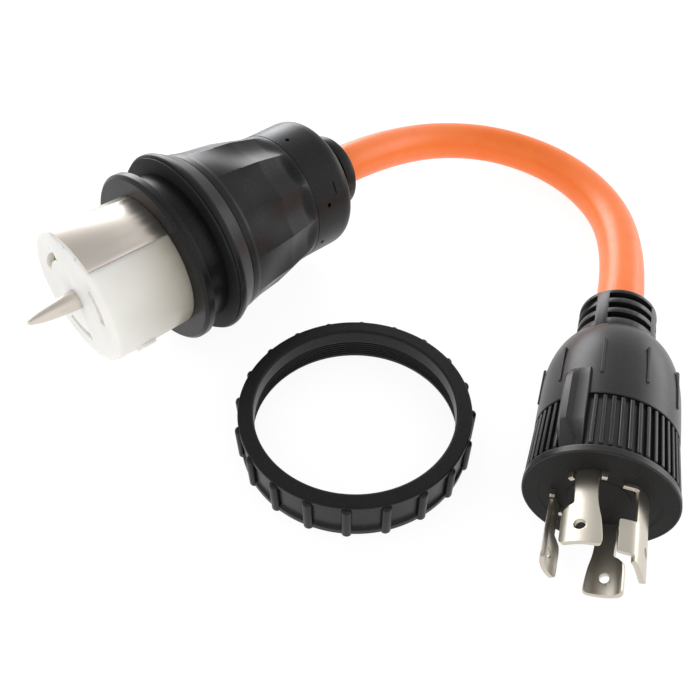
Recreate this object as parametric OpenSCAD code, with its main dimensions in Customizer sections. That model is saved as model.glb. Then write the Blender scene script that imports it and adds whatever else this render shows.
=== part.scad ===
// Short power adapter lead: a large locking connector and a four-blade locking plug
// joined by a thick round cord, with the connector's threaded locking ring beside them.
// Everything stands on z = 0, and the origin is the middle of the ring's underside.

/* [Connector] */
// Radius of the nylon nose
nose_r = 26.5; // [25.5:0.5:28]
// Length of the nose in front of the flange
nose_len = 32.4; // [27:0.2:39]
// How far the pointed pin stands out of the nose
pin_out = 19; // [15:1:23]
// Radius of the front flange, which the locking ring slides over
flange_r = 34.6; // [34:0.2:35.4]
// Radius of the stop flange, which the locking ring can't pass
stop_r = 37.2; // [37:0.2:45]
// Length of the groove between the two flanges
groove_len = 9.5; // [8:0.5:12]
// Length of the scalloped grip
grip_len = 40.7; // [34:0.1:49]
// Number of thumb scoops around the grip
scoops = 12; // [8:1:16]
// Radius of the clamp nut
nut_r = 28.2; // [27:0.1:30]
// Length of the clamp nut
nut_len = 20.7; // [17:0.1:25]

/* [Plug] */
// Radius of the plug's face
face_r = 23.6; // [22:0.1:27]
// Length of the plug's ribbed band
band_len = 24.4; // [20:0.1:29]
// Length of the dome behind the band
dome_len = 43; // [38:0.5:50]
// Length of the slotted cord sleeve
sleeve_len = 21.2; // [18:0.1:25]
// Radius of the circle that the blades stand on
blade_circle_r = 13.8; // [13.2:0.1:14.4]
// How far a blade stands out of the face
blade_len = 24.8; // [21:0.1:28]
// Thickness of a blade
blade_t = 1.5; // [1.2:0.1:1.8]

/* [Cord] */
// Radius of the round cord
cord_r = 9; // [7.6:0.1:9.4]

/* [Locking ring] */
// Inner radius of the ring's lip, a little over the front flange
ring_bore_r = 36.5; // [36:0.1:36.8]
// Radius of the ring's side wall
ring_wall_r = 41.6; // [41:0.2:48]
// Height of the ring
ring_h = 16.2; // [14:0.1:19]
// Number of grip ribs around the ring
ring_ribs = 20; // [12:1:24]

/* [Hidden] */
$fn = 96;

run_gap = 0.3;   // between surfaces that move past each other
eps = 0.01;

// ---- Stations along the connector, from the flange's front face, + toward the nose
flange_t = 4;
flange_bevel = 1.2;
groove_depth = 4.2;
seal_t = 1;
stop_t = 8.5;
s_groove = -flange_t;
s_seal = s_groove - groove_len;
s_stop = s_seal - seal_t;
s_grip = s_stop - stop_t;
s_nut = s_grip - grip_len;
s_nut_end = s_nut - nut_len;
s_gland_end = s_nut_end - 15.2;
stop_rim = 1.8;                 // cylindrical part of the stop flange
stop_back_r = stop_r - 2.9;
spigot_r = nose_r - 1.9;        // the nose's rear, inside both flanges
s_carrier = -20;                // the nose's rear face
carrier_t = 4;
strip_mid = 168.5;              // angle of the ground strip's middle, 180 is up
strip_span = 51;
strip_out = 0.6;                // the strip stands proud of the nose
strip_t = 1.4;
strip_tab_w = 8;
pad_out = 1.1;                  // raised pad on the nose
contact_angles = [strip_mid - 60, strip_mid + 60, strip_mid + 180];
contact_r = 17;
contact_span = 46;
shank_span = 12;
contact_leaf = 0.8;
contact_gap = 1.4;              // room for a blade between two leaves
slot_half = contact_leaf + contact_gap / 2;
pin_r = 3.7;
screw_r = 1.6;
screw_bite = 9.5;               // length of a carrier screw in the nose
pin_marks = [173.5, 158.7, -11]; // small blind holes in the nose's face
carrier_screw_angles = [strip_mid, strip_mid + 120, strip_mid + 240];
carrier_screw_circle = spigot_r - 4.6;
block = [8, 7, 12];             // terminal block: radial, across, along
s_block = s_carrier - carrier_t;
wire_r = 1.9;
wire_grip = 5.4;                // length of wire held in its terminal block
core_place = 4.2;               // radius of the wires' places in the cord
pin_shank = 4;                  // the pin behind its carrier

// ---- The clamp nut, gland and bush at the connector's rear
thread_r = 22;                  // the grip's rear spigot, inside the nut
thread_len = nut_len - 4.5;
nut_wall = 2.5;
nut_hole_r = 0.9;
gland_r = cord_r + 7.5;
gland_neck_r = cord_r + 4.2;
gland_bore_r = cord_r + run_gap;
gland_rim = 6.6;
gland_flange_r = 16.6;
gland_flange_t = 4;
spigot_bore_r = gland_flange_r + 0.4;
s_bush = s_nut - 4.3;
bush_len = 6;
cavity_r = spigot_r + 0.4;      // inside the grip, behind the contact carrier
cavity_rear_r = 20;
cord_hole_r = cord_r + 4;
nut_holes = [[172.6, 5.3], [105.2, 6.7], [68.4, 3.8]];   // angle, distance from the nut's front
s_gland_flange = s_bush - bush_len;
s_cord_in = s_nut - 2.3;        // the cord's end inside the connector

// ---- Stations along the plug, from its face, + toward the blades' tips
band_back_r = face_r - 0.8;
s_dome = -band_len;
s_sleeve = s_dome - dome_len;
s_sleeve_end = s_sleeve - sleeve_len;
sleeve_r = cord_r + 5.2;
sleeve_neck_r = cord_r + 3.8;
sleeve_flange_r = cord_r + 6;
rear_wall = 2.6;
face_recess = 0.15;
face_t = 3;
core_r = max(face_r - 3.6, blade_circle_r + 5.1);   // clears the terminal screws
shell_rim = 2.6;                // how far the face plate laps the shell
s_core_end = -20;
s_cord_out = s_sleeve + rear_wall + 2.6;
s_plug_wires = s_core_end - 12;
blade_angles = [-153, -63, 27];
ground_angle = 117;
neck_span = 27;
blade_hole_r = 1.6;
blade_span = 48;
ear_span = 6;                   // the ears that show beside a blade's neck
ear_out = 1.8;
s_root = -4;                    // where the wide part inside the plug starts
root_len = 5;
root_gap = 0.1;
key_angle = -141.4;             // the thumb block: a broad step with a narrow ridge on it
key_w = 10.2;
key_ridge_angle = -138.6;
key_ridge_w = 4.4;
ground_span = 46;
ground_turn = ground_span / 2 - 1.5;
dome_ribs = 10;
sleeve_web = 19;
sleeve_slot = 3.1;
sleeve_pitch = 5.7;

// ---- Where the two ends lie: each rests on its widest part
conn_az = -134;
conn_tilt = 3.2;
conn_pos = [-79, 53.3,
    stop_r * cos(conn_tilt) - (s_stop - stop_rim) * sin(conn_tilt)];
plug_az = -108.7;
plug_tilt = atan((face_r - band_back_r) / band_len);
plug_pos = [75.3, -43.5, face_r * cos(plug_tilt)];
conn_dir = [cos(conn_tilt) * cos(conn_az), cos(conn_tilt) * sin(conn_az), sin(conn_tilt)];
plug_dir = [cos(plug_tilt) * cos(plug_az), cos(plug_tilt) * sin(plug_az), sin(plug_tilt)];
function conn_at(s) = conn_pos + s * conn_dir;
function plug_at(s) = plug_pos + s * plug_dir;

// ---- The cord's route: straight out of each end, and down to the floor between them
cord_middle = [[10.5, 147.5, 28], [24.5, 162, 23], [39.5, 174, 18.5],
    [58, 182, 14], [76, 182.5, 11.5], [93.5, 175, 10], [107, 163, 9.5], [116.5, 147.5, 9.5],
    [122, 130, 10], [123, 111.5, 11.5], [120, 91.5, 14], [115, 72, 16.5], [108.5, 53, 19.5]];
cord_route = concat([for (s = [0, 14, 28, 42]) conn_at(s_cord_in - s)], cord_middle,
    [for (s = [24, 12, 0]) plug_at(s_cord_out - s)]);
cord_sides = 12;
cord_floor = cord_r;            // lowest the cord's middle line may lie

// A smooth curve through the route: uniform cubic B-spline, its ends at the first and last point
cord_n = len(cord_route);
cord_knots = concat([2 * cord_route[0] - cord_route[1]], cord_route,
    [2 * cord_route[cord_n - 1] - cord_route[cord_n - 2]]);
function spline(i, t) =
    ((1 - t) ^ 3 * cord_knots[i] + (3 * t ^ 3 - 6 * t ^ 2 + 4) * cord_knots[i + 1]
    + (-3 * t ^ 3 + 3 * t ^ 2 + 3 * t + 1) * cord_knots[i + 2] + t ^ 3 * cord_knots[i + 3]) / 6;
cord_line = concat([for (i = [0 : cord_n - 2]) spline(i, 0)], [spline(cord_n - 2, 1)]);
function unit(v) = v / norm(v);
function cord_way(i) =
    i == 0 ? -conn_dir : i == len(cord_line) - 1 ? plug_dir
    : unit(cord_line[i + 1] - cord_line[i - 1]);
function ring_of(i) =
    let (d = cord_way(i), u = unit(cross([0, 0, 1], d)), v = cross(d, u),
        c = [cord_line[i][0], cord_line[i][1], max(cord_line[i][2], cord_floor)])
    [for (k = [0 : cord_sides - 1]) let (a = 360 * k / cord_sides)
        c + cord_r * (cos(a) * u + sin(a) * v)];

module at_connector() {
    translate(conn_pos) rotate([0, 90 - conn_tilt, conn_az]) children();
}
module at_plug() {
    translate(plug_pos) rotate([0, 90 - plug_tilt, plug_az]) children();
}
// Ring of rectangular section between two radii, from station a down to station b
module tube(r0, r1, a, b) {
    rotate_extrude() polygon([[r0, b], [r1, b], [r1, a], [r0, a]]);
}
// Part of such a ring, spanning an angle about its middle
module arc(r0, r1, a, b, mid, span) {
    rotate([0, 0, mid - span / 2]) rotate_extrude(angle = span)
        polygon([[r0, b], [r1, b], [r1, a], [r0, a]]);
}
// Round wire through points, with a slightly larger ball at each inner point
module wire(points, r) {
    for (i = [0 : len(points) - 2])
        let (a = points[i], b = points[i + 1], d = b - a, l = norm(d))
        translate(a) rotate([0, acos(d[2] / l), atan2(d[1], d[0])]) cylinder(r = r, h = l, $fn = 32);
    for (i = [1 : 1 : len(points) - 2]) translate(points[i]) sphere(r = r + 0.1, $fn = 32);
}
function polar(r, a, s) = [r * cos(a), r * sin(a), s];

// ---- Connector
module contact_slots(a, b) {
    for (m = contact_angles) arc(contact_r - slot_half, contact_r + slot_half, a, b, m, contact_span);
}
module nose() color([0.93, 0.91, 0.85]) at_connector() difference() {
    union() {
        rotate_extrude() polygon([[0, 0], [nose_r, 0], [nose_r, nose_len - 2],
            [nose_r - 0.6, nose_len - 0.6], [nose_r - 2, nose_len], [0, nose_len]]);
        tube(0, spigot_r, 0, s_carrier);
        arc(nose_r - 1, nose_r + pad_out, nose_len - 10, nose_len - 16, 48, 16);
    }
    contact_slots(nose_len + 1, s_carrier - 1);
    tube(0, pin_r, nose_len + 1, s_carrier - 1);
    arc(nose_r + strip_out - strip_t, nose_r + 3, nose_len + 1, 0, strip_mid, strip_span);
    arc(spigot_r - strip_t, nose_r, 1, s_carrier - 1, strip_mid, strip_tab_deg());
    for (a = carrier_screw_angles)
        translate(polar(carrier_screw_circle, a, s_carrier - 1)) cylinder(r = screw_r, h = screw_bite + 1.5);
    for (a = pin_marks) translate(polar(nose_r - 1.7, a, nose_len - 1.2)) cylinder(r = 0.5, h = 3, $fn = 24);
}
function strip_tab_deg() = strip_tab_w / spigot_r * 180 / PI;

module ground_strip() color([0.72, 0.69, 0.63]) at_connector() {
    arc(nose_r + strip_out - strip_t, nose_r + strip_out, nose_len - 0.3, 0, strip_mid, strip_span);
    arc(spigot_r - strip_t, nose_r + strip_out, 1, 0, strip_mid, strip_tab_deg());
    arc(spigot_r - strip_t, spigot_r, eps, s_carrier, strip_mid, strip_tab_deg());
}

module centre_pin() color([0.66, 0.62, 0.55]) at_connector() difference() {
    rotate_extrude() polygon([[0, s_block - pin_shank], [pin_r, s_block - pin_shank], [pin_r, nose_len + 1],
        [pin_r - 0.5, nose_len + pin_out * 0.4], [pin_r - 1.4, nose_len + pin_out * 0.72],
        [0.9, nose_len + pin_out - 0.6], [0, nose_len + pin_out]]);
    translate(polar(pin_r, 70, nose_len + pin_out * 0.45)) rotate([0, -8, 70])
        translate([0.8, -1.1, 0]) cube([4, 2.2, pin_out]);
}

// Two curved leaves that grip a blade, joined at the rear, with a shank down to a terminal block
module contact(m) color([0.78, 0.66, 0.42]) at_connector() {
    difference() {
        arc(contact_r - slot_half, contact_r + slot_half, nose_len - 3, s_block - 1, m, contact_span);
        arc(contact_r - contact_gap / 2, contact_r + contact_gap / 2,
            nose_len, s_carrier + 3, m, contact_span + 4);
        for (side = [-1, 1]) arc(contact_r - slot_half - 1, contact_r + slot_half + 1, s_carrier, s_block - 2,
            m + side * (shank_span / 2 + 15), 30);
    }
    difference() {
        rotate([0, 0, m]) translate([contact_r - block[0] / 2, -block[1] / 2, s_block - block[2]])
            cube(block);
        translate(polar(contact_r, m, s_block - block[2] - 1))
            cylinder(r = wire_r, h = wire_grip + 1, $fn = 32);
        translate(polar(contact_r, m, s_block - 8.5)) rotate([0, 90, m])
            cylinder(r = screw_r, h = 10, $fn = 32);
    }
}
module contact_line_1() contact(contact_angles[0]);
module contact_line_2() contact(contact_angles[1]);
module contact_neutral() contact(contact_angles[2]);

module contact_carrier() color([0.25, 0.24, 0.23]) at_connector() difference() {
    tube(0, spigot_r, s_carrier, s_block);
    for (m = contact_angles)
        arc(contact_r - slot_half, contact_r + slot_half, s_carrier + 1, s_block - 1, m, shank_span);
    tube(0, pin_r, s_carrier + 1, s_block - 1);
    for (a = carrier_screw_angles)
        translate(polar(carrier_screw_circle, a, s_block - 1)) cylinder(r = screw_r, h = carrier_t + 2);
}

module carrier_screws() color([0.7, 0.7, 0.7]) at_connector() for (a = carrier_screw_angles)
    translate(polar(carrier_screw_circle, a, s_block)) {
        cylinder(r = screw_r, h = carrier_t + screw_bite);
        difference() {
            translate([0, 0, -2.2]) cylinder(r = 3, h = 2.2);
            translate([-3.5, -0.4, -3]) cube([7, 0.8, 1.8]);
        }
    }

module screw_in_block(r_out) {
    difference() {
        union() {
            rotate([0, 90, 0]) cylinder(r = screw_r, h = r_out, $fn = 32);
            translate([r_out, 0, 0]) rotate([0, 90, 0]) cylinder(r = 2.6, h = 1.8, $fn = 32);
        }
        translate([r_out + 0.9, -0.35, -3]) cube([2, 0.7, 6]);
    }
}
module connector_terminal_screws() color([0.75, 0.72, 0.6]) at_connector() for (m = contact_angles)
    rotate([0, 0, m]) translate([contact_r + wire_r, 0, s_block - 8.5])
        screw_in_block(block[0] / 2 - wire_r);

module front_flange() color([0.2, 0.2, 0.21]) at_connector()
    rotate_extrude() polygon([[spigot_r, s_seal], [flange_r - groove_depth, s_seal],
        [flange_r - groove_depth, s_groove], [flange_r, s_groove], [flange_r, -flange_bevel],
        [flange_r - flange_bevel, 0], [spigot_r, 0]]);

module flange_seal() color([0.05, 0.05, 0.05]) at_connector()
    tube(spigot_r, stop_r - 1, s_seal, s_stop);

module stop_flange() color([0.2, 0.2, 0.21]) at_connector()
    rotate_extrude() polygon([[spigot_r, s_grip], [stop_back_r, s_grip], [stop_back_r, s_grip + 0.5],
        [stop_r, s_stop - stop_rim], [stop_r, s_stop - 0.4], [stop_r - 0.4, s_stop], [spigot_r, s_stop]]);

// The grip's outside radius falls from the step behind the stop flange to the clamp nut
grip_outline = [[stop_back_r - 0.7, s_grip], [stop_back_r - 0.7, s_grip - 3],
    [stop_back_r - 1.2, s_grip - 4], [32.6 / 34.3 * stop_back_r, s_grip - grip_len * 0.36],
    [31.6 / 34.3 * stop_back_r, s_grip - grip_len * 0.59],
    [29.4 / 34.3 * stop_back_r, s_grip - grip_len * 0.81], [nut_r - 0.2, s_nut]];
scoop_r = 45;
scoop_depth = 2.8;
module grip_body() color([0.2, 0.2, 0.21]) at_connector() difference() {
    rotate_extrude() polygon(concat(grip_outline,
        [[thread_r, s_nut], [thread_r, s_nut - thread_len], [spigot_bore_r, s_nut - thread_len],
        [spigot_bore_r, s_bush], [cord_hole_r, s_bush], [cord_hole_r, s_nut + 2], [cavity_rear_r, s_nut + 5],
        [cavity_r, s_nut + 14], [cavity_r, s_grip]]));
    for (k = [0 : scoops - 1])
        rotate([0, 0, 145 + 360 * k / scoops])
            translate([stop_back_r - 2.2 - scoop_depth + scoop_r, 0, s_grip - grip_len * 0.56])
                sphere(r = scoop_r);
}

// Turns on the grip's rear spigot and presses the gland onto the bush
module clamp_nut() color([0.2, 0.2, 0.21]) at_connector() difference() {
    rotate_extrude() polygon([[thread_r + run_gap, s_nut - run_gap], [nut_r, s_nut - run_gap],
        [nut_r + 0.3, s_nut_end + 3], [nut_r - 0.6, s_nut_end + 0.8], [nut_r - 2.4, s_nut_end],
        [gland_neck_r + run_gap, s_nut_end], [gland_neck_r + run_gap, s_nut_end + nut_wall],
        [thread_r + run_gap, s_nut_end + nut_wall]]);
    for (hole = nut_holes, half = [0, 180]) rotate([0, 90, hole[0] + half])
        translate([-(s_nut - hole[1]), 0, nut_r - 3]) cylinder(r = nut_hole_r, h = 5, $fn = 24);
}

module gland() color([0.17, 0.17, 0.17]) at_connector() rotate_extrude()
    polygon([[gland_bore_r, s_gland_end], [gland_r - 1.5, s_gland_end], [gland_r, s_gland_end + 1.5],
        [gland_r, s_gland_end + gland_rim], [gland_neck_r, s_gland_end + gland_rim],
        [gland_neck_r, s_gland_flange - gland_flange_t], [gland_flange_r, s_gland_flange - gland_flange_t],
        [gland_flange_r, s_gland_flange], [gland_bore_r, s_gland_flange]]);

module grip_bush() color([0.1, 0.1, 0.1]) at_connector()
    tube(cord_r, gland_flange_r, s_bush, s_gland_flange);

// A wire runs back from its terminal block, then bends in to its place in the cord
module connector_wire(m) at_connector() wire([polar(contact_r, m, s_block - block[2] + wire_grip),
    polar(contact_r, m, s_block - block[2] - 3), polar(core_place, m, s_cord_in + 6),
    polar(core_place, m, s_cord_in)], wire_r);
module connector_wire_line_1() color([0.15, 0.15, 0.15]) connector_wire(contact_angles[0]);
module connector_wire_line_2() color([0.7, 0.1, 0.1]) connector_wire(contact_angles[1]);
module connector_wire_neutral() color([0.9, 0.9, 0.88]) connector_wire(contact_angles[2]);
module connector_wire_ground() color([0.1, 0.45, 0.2]) at_connector()
    wire([[0, 0, s_block - pin_shank], [0, 0, s_cord_in]], wire_r);

// ---- Cord
module cord() color([1, 0.45, 0.16]) {
    n = len(cord_line);
    m = cord_sides;
    polyhedron(
        points = [for (i = [0 : n - 1]) each ring_of(i)],
        faces = concat([[for (k = [0 : m - 1]) k]],
            [for (i = [0 : n - 2], k = [0 : m - 1]) [i * m + k, (i + 1) * m + k,
                (i + 1) * m + (k + 1) % m, i * m + (k + 1) % m]],
            [[for (k = [m - 1 : -1 : 0]) (n - 1) * m + k]]));
}

// ---- Plug
module plug_shell() color([0.2, 0.2, 0.2]) at_plug() {
    difference() {
        union() {
            rotate_extrude() polygon([[0, 0], [face_r, 0], [face_r, -2.5],
                [band_back_r, s_dome], [band_back_r + 0.2, s_dome - dome_len * 0.27],
                [band_back_r + 0.2, s_dome - dome_len * 0.48], [band_back_r - 0.5, s_dome - dome_len * 0.64],
                [band_back_r - 2.4, s_dome - dome_len * 0.8], [band_back_r - 4.9, s_dome - dome_len * 0.92],
                [sleeve_r + 0.5, s_sleeve], [0, s_sleeve]]);
            key_block(key_angle, key_w, face_r + 0.7);
            key_block(key_ridge_angle, key_ridge_w, face_r + 2.4);
            for (k = [0 : dome_ribs - 1]) rotate([0, 0, -162 + 360 * k / dome_ribs])
                translate([band_back_r - 2.5, -0.5, s_dome - dome_len * 0.6])
                    cube([3.3, 1, dome_len * 0.44]);
        }
        rotate_extrude() polygon([[0, 1], [core_r + shell_rim, 1],
            [core_r + shell_rim, -face_t], [core_r, -face_t],
            [core_r, s_dome - dome_len * 0.5], [sleeve_flange_r, s_sleeve + rear_wall + 5],
            [sleeve_flange_r, s_sleeve + rear_wall], [sleeve_neck_r, s_sleeve + rear_wall],
            [sleeve_neck_r, s_sleeve - 1], [0, s_sleeve - 1]]);
    }
}
// One step of the thumb block on the band; it slopes down at both ends
module key_block(a, w, top) rotate([0, 0, a]) translate([0, w / 2, 0]) rotate([90, 0, 0])
    linear_extrude(w) polygon([[band_back_r - 3, s_dome - 11.8], [band_back_r, s_dome - 11.8],
        [top, s_dome - 6.2], [top, -12], [face_r - 0.1, -2.6], [band_back_r - 3, -2.6]]);

// Space beside a blade's neck, over an angle that starts at the neck
module beside_neck(m, side, a, b, span)
    arc(blade_circle_r - 3, blade_circle_r + 3, a, b, m + side * (neck_span + span) / 2, span);
// Section of a straight blade's stem, also the slot that holds it
module blade_stem(m, a, b)
    arc(blade_circle_r - blade_t / 2, blade_circle_r + blade_t / 2, a, b, m, neck_span);
module ground_stem(a, b) {
    arc(blade_circle_r - blade_t / 2, blade_circle_r + blade_t / 2, a, b, ground_angle + 1, ground_span);
    ground_hook(a, b, 4.4);
}
// Flat leg of the ground blade, turned in toward the plug's middle
module ground_hook(a, b, w) rotate([0, 0, ground_angle + 1 + ground_turn])
    translate([blade_circle_r - blade_t / 2, -blade_t / 2, b]) rotate([0, 0, 135])
        translate([-blade_t / 2, -blade_t / 2, 0]) cube([w, blade_t, a - b]);

module blade_slots(a, b) {
    for (m = blade_angles) blade_stem(m, a, b);
    ground_stem(a, b);
}
module plug_face() color([0.12, 0.12, 0.11]) at_plug() difference() {
    tube(0, core_r + shell_rim, -face_recess, -face_t);
    blade_slots(1, -face_t - 1);
    for (m = blade_angles, side = [-1, 1])
        arc(blade_circle_r - blade_t / 2, blade_circle_r + blade_t / 2, 1, -face_t - 1,
            m + side * (blade_span - ear_span) / 2, ear_span);
}
module plug_core() color([0.3, 0.3, 0.29]) at_plug() difference() {
    tube(0, core_r, -face_t, s_core_end);
    blade_slots(0, s_core_end - 1);
    for (m = blade_angles)
        arc(blade_circle_r - blade_t / 2 - root_gap, blade_circle_r + blade_t / 2 + root_gap,
            0, s_root - root_len, m, blade_span + 2);
}

// A straight blade: narrow neck, a locking shoulder, a wide end with a hole. Inside the plug it
// widens again, and two small ears of that part reach the face beside the neck
module blade(m) color([0.76, 0.73, 0.68]) at_plug() difference() {
    arc(blade_circle_r - blade_t / 2, blade_circle_r + blade_t / 2, blade_len, s_core_end, m, blade_span);
    for (side = [-1, 1]) {
        beside_neck(m, side, blade_len * 0.46, ear_out, 30);
        beside_neck(m, side, ear_out + 1, s_root, blade_span / 2 - neck_span / 2 - ear_span);
        beside_neck(m, side, s_root - root_len, s_core_end - 1, 30);
    }
    translate(polar(blade_circle_r, m, blade_len * 0.76)) rotate([0, 90, m])
        translate([0, 0, -3]) cylinder(r = blade_hole_r, h = 6, $fn = 48);
    for (side = [-1, 1]) translate(polar(blade_circle_r, m + side * (blade_span / 2 + 1.5), blade_len))
        rotate([0, 0, m]) rotate([45, 0, 0]) cube([6, 2.6, 2.6], center = true);
}
module blade_line_1() blade(blade_angles[0]);
module blade_line_2() blade(blade_angles[1]);
module blade_neutral() blade(blade_angles[2]);
module blade_ground() color([0.76, 0.73, 0.68]) at_plug() {
    difference() {
        union() {
            ground_stem(blade_len * 0.5, s_core_end);
            arc(blade_circle_r - blade_t / 2, blade_circle_r + blade_t / 2, blade_len + 2.8,
                blade_len * 0.49, ground_angle + 1, ground_span);
        }
        translate(polar(blade_circle_r, ground_angle - 1, blade_len * 0.76)) rotate([0, 90, ground_angle])
            translate([0, 0, -3]) cylinder(r = blade_hole_r, h = 6, $fn = 48);
        for (side = [-1, 1]) translate(polar(blade_circle_r, ground_angle + 1 + side * 22, blade_len + 3.6))
            rotate([0, 0, ground_angle + 1 + side * 22]) rotate([45, 0, 0])
                cube([8, 4.6, 4.6], center = true);
    }
    ground_hook(blade_len, blade_len * 0.5 - eps, 7);
}

plug_contact_angles = concat(blade_angles, [ground_angle]);
plug_block_r = blade_circle_r - 0.8;
module plug_terminals() color([0.78, 0.66, 0.42]) at_plug() for (m = plug_contact_angles) difference() {
    rotate([0, 0, m]) translate([plug_block_r - 3.5, -3.5, s_plug_wires]) cube([7, 7, 12]);
    translate(polar(plug_block_r, m, s_plug_wires - 1)) cylinder(r = wire_r, h = wire_grip + 1, $fn = 32);
    translate(polar(plug_block_r, m, s_plug_wires + 3)) rotate([0, 90, m])
        cylinder(r = screw_r, h = 10, $fn = 32);
}
module plug_terminal_screws() color([0.75, 0.72, 0.6]) at_plug() for (m = plug_contact_angles)
    rotate([0, 0, m]) translate([plug_block_r + wire_r, 0, s_plug_wires + 3])
        screw_in_block(3.5 - wire_r);

module plug_wire(m) at_plug() wire([polar(plug_block_r, m, s_plug_wires + wire_grip),
    polar(plug_block_r, m, s_plug_wires - 8), polar(core_place, m, s_cord_out + 6),
    polar(core_place, m, s_cord_out)], wire_r);
module plug_wire_line_1() color([0.15, 0.15, 0.15]) plug_wire(blade_angles[0]);
module plug_wire_line_2() color([0.7, 0.1, 0.1]) plug_wire(blade_angles[1]);
module plug_wire_neutral() color([0.9, 0.9, 0.88]) plug_wire(blade_angles[2]);
module plug_wire_ground() color([0.1, 0.45, 0.2]) plug_wire(ground_angle);

// Slotted sleeve that lets the cord bend gently where it enters the plug
module cord_sleeve() color([0.16, 0.16, 0.16]) at_plug() difference() {
    rotate_extrude() polygon([[cord_r, s_sleeve_end], [sleeve_r - 0.8, s_sleeve_end],
        [sleeve_r, s_sleeve_end + 0.8], [sleeve_r, s_sleeve], [sleeve_neck_r, s_sleeve],
        [sleeve_neck_r, s_sleeve + rear_wall], [sleeve_flange_r, s_sleeve + rear_wall],
        [sleeve_flange_r, s_sleeve + rear_wall + 2.6], [cord_r, s_sleeve + rear_wall + 2.6]]);
    for (row = [0 : 2], k = [0 : 3])
        arc(sleeve_r - 2.6, sleeve_r + 1, s_sleeve_end + 5.6 + row * sleeve_pitch,
            s_sleeve_end + 5.6 - sleeve_slot + row * sleeve_pitch, -100 + 90 * k, 90 - sleeve_web);
}

// ---- Locking ring, lying flat on the floor with its lip up
thread_pitch = 2;
thread_turns = 4;
lip_h = 6.2;
ring_rib_r = 1.9;
module locking_ring() color([0.24, 0.24, 0.24]) {
    root = ring_bore_r + 1.5;
    low = ring_h - lip_h - thread_pitch * thread_turns;
    rotate_extrude() polygon(concat(
        [[root, 0], [ring_wall_r + 1, 0], [ring_wall_r + 1, 2.6], [ring_wall_r, 3.2],
        [ring_wall_r, ring_h - 2.6], [ring_wall_r + 0.6, ring_h - 2.2], [ring_wall_r + 0.6, ring_h - 0.6],
        [ring_wall_r, ring_h], [ring_bore_r + 0.6, ring_h], [ring_bore_r, ring_h - 0.6],
        [ring_bore_r, ring_h - lip_h]],
        [for (k = [thread_turns : -1 : 1]) each [[root, low + (k - 0.2) * thread_pitch],
            [ring_bore_r + 0.3, low + (k - 0.7) * thread_pitch]]],
        [[root, low]]));
    for (k = [0 : ring_ribs - 1]) rotate([0, 0, -94 + 360 * k / ring_ribs])
        translate([ring_wall_r + 0.6, 0, 0]) {
            cylinder(r = ring_rib_r, h = ring_h - 2.4, $fn = 32);
            translate([0, 0, ring_h - 2.4]) sphere(r = ring_rib_r, $fn = 32);
        }
}

nose();
ground_strip();
centre_pin();
contact_line_1();
contact_line_2();
contact_neutral();
contact_carrier();
carrier_screws();
connector_terminal_screws();
front_flange();
flange_seal();
stop_flange();
grip_body();
clamp_nut();
gland();
grip_bush();
connector_wire_line_1();
connector_wire_line_2();
connector_wire_neutral();
connector_wire_ground();
cord();
plug_shell();
plug_face();
plug_core();
blade_line_1();
blade_line_2();
blade_neutral();
blade_ground();
plug_terminals();
plug_terminal_screws();
plug_wire_line_1();
plug_wire_line_2();
plug_wire_neutral();
plug_wire_ground();
cord_sleeve();
locking_ring();
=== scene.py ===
"""Looks of a short power adapter lead: locking connector, cord, locking plug and loose locking ring."""
from math import atan, cos, degrees, pi, radians, sin, sqrt

import bmesh
import bpy
from mathutils import Matrix, Vector


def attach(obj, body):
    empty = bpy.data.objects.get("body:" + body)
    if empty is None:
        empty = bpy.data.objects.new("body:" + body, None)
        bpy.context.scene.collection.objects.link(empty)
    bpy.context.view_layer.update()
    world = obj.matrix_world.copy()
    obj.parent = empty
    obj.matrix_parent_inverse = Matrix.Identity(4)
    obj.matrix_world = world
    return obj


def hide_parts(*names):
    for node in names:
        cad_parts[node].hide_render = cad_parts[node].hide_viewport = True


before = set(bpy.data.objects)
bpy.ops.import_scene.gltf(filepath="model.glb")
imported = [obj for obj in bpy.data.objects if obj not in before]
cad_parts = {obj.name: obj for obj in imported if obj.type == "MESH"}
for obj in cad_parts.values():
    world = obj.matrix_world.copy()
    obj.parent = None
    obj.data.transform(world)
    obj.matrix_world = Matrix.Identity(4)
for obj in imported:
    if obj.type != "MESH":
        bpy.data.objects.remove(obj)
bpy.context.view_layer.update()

MM = 0.001


# ---------------------------------------------------------------- expressions on node sockets
class Value:
    """A socket that adds a Math node when it is used in a Python expression."""

    def __init__(self, net, socket):
        self.net, self.socket = net, socket

    def do(self, operation, *others):
        return self.net.node("ShaderNodeMath", {"operation": operation}, dict(enumerate((self, *others))))

    def swapped(self, operation, other):
        return self.net.node("ShaderNodeMath", {"operation": operation}, {0: other, 1: self})

    def __add__(self, other):
        return self.do("ADD", other)

    def __sub__(self, other):
        return self.do("SUBTRACT", other)

    def __rsub__(self, other):
        return self.swapped("SUBTRACT", other)

    def __mul__(self, other):
        return self.do("MULTIPLY", other)

    def __truediv__(self, other):
        return self.do("DIVIDE", other)

    def __rtruediv__(self, other):
        return self.swapped("DIVIDE", other)

    def __pow__(self, other):
        return self.do("POWER", other)

    def __gt__(self, other):
        return self.do("GREATER_THAN", other)

    def __lt__(self, other):
        return self.do("LESS_THAN", other)

    def __neg__(self):
        return self.do("MULTIPLY", -1.0)

    __radd__, __rmul__ = __add__, __mul__


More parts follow.
